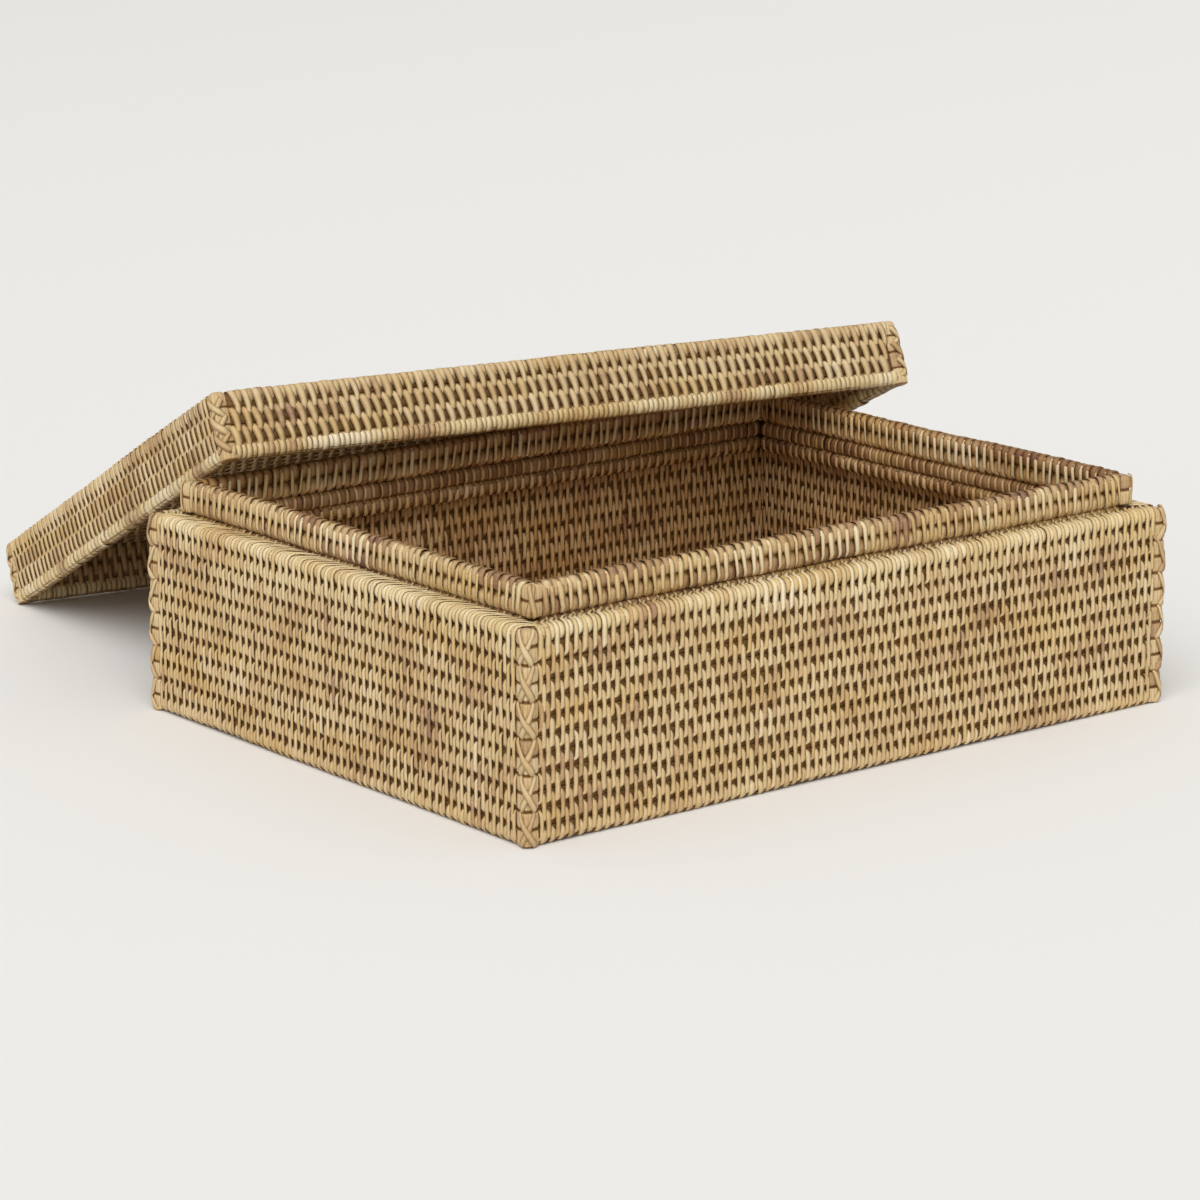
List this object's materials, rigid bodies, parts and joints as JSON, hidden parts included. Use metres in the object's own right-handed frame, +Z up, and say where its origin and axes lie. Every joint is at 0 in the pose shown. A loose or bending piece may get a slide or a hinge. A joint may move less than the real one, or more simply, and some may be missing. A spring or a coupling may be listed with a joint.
{
  "type": "woven lidded box",
  "caption": "Rectangular woven rattan storage box with a raised inner collar and a lift-off woven lid that leans on the open box.",
  "frame": {"origin": "middle of the underside of the open box, on the surface that it stands on", "axes": "+Z up, +X along the box's long side, -Y towards the viewer's long side; the lid leans on the +Y side"},
  "size_m": [0.4568, 0.5465, 0.1616],
  "materials": {
    "woven_wall": "natural rattan peel, satin",
    "wrapped_rim": "close wraps of pale rattan peel, satin",
    "collar_weave": "natural rattan peel over brown core, satin",
    "ridge_wrap": "brown rattan wraps, satin",
    "corner_lashing": "crossed lashings of rattan peel, satin",
    "woven_panel": "natural rattan peel, satin"
  },
  "bodies": {
    "base": {"base_floor": "woven_panel", "base_wall_front": "woven_wall", "base_wall_right": "woven_wall", "base_wall_rear": "woven_wall", "base_wall_left": "woven_wall", "base_corner_front_left": "corner_lashing", "base_corner_front_right": "corner_lashing", "base_corner_rear_right": "corner_lashing", "base_corner_rear_left": "corner_lashing", "shoulder_front": "wrapped_rim", "shoulder_right": "wrapped_rim", "shoulder_rear": "wrapped_rim", "shoulder_left": "wrapped_rim", "collar_front": "collar_weave", "collar_right": "collar_weave", "collar_rear": "collar_weave", "collar_left": "collar_weave", "collar_corner_front_left": "corner_lashing", "collar_corner_front_right": "corner_lashing", "collar_corner_rear_right": "corner_lashing", "collar_corner_rear_left": "corner_lashing", "ridge_rod_1_front": "ridge_wrap", "ridge_rod_1_right": "ridge_wrap", "ridge_rod_1_rear": "ridge_wrap", "ridge_rod_1_left": "ridge_wrap", "ridge_rod_2_front": "ridge_wrap", "ridge_rod_2_right": "ridge_wrap", "ridge_rod_2_rear": "ridge_wrap", "ridge_rod_2_left": "ridge_wrap"},
    "lid": {"lid_panel": "woven_panel", "lid_wall_front": "woven_wall", "lid_wall_right": "woven_wall", "lid_wall_rear": "woven_wall", "lid_wall_left": "woven_wall", "lid_corner_front_left": "corner_lashing", "lid_corner_front_right": "corner_lashing", "lid_corner_rear_right": "corner_lashing", "lid_corner_rear_left": "corner_lashing", "lid_rim_front": "wrapped_rim", "lid_rim_right": "wrapped_rim", "lid_rim_rear": "wrapped_rim", "lid_rim_left": "wrapped_rim"}
  },
  "joints": [
    {"name": "lid_lift", "type": "slide", "parent": "base", "child": "lid", "axis": [0, 0, 1], "range_m": [0, 0.13]}
  ]
}
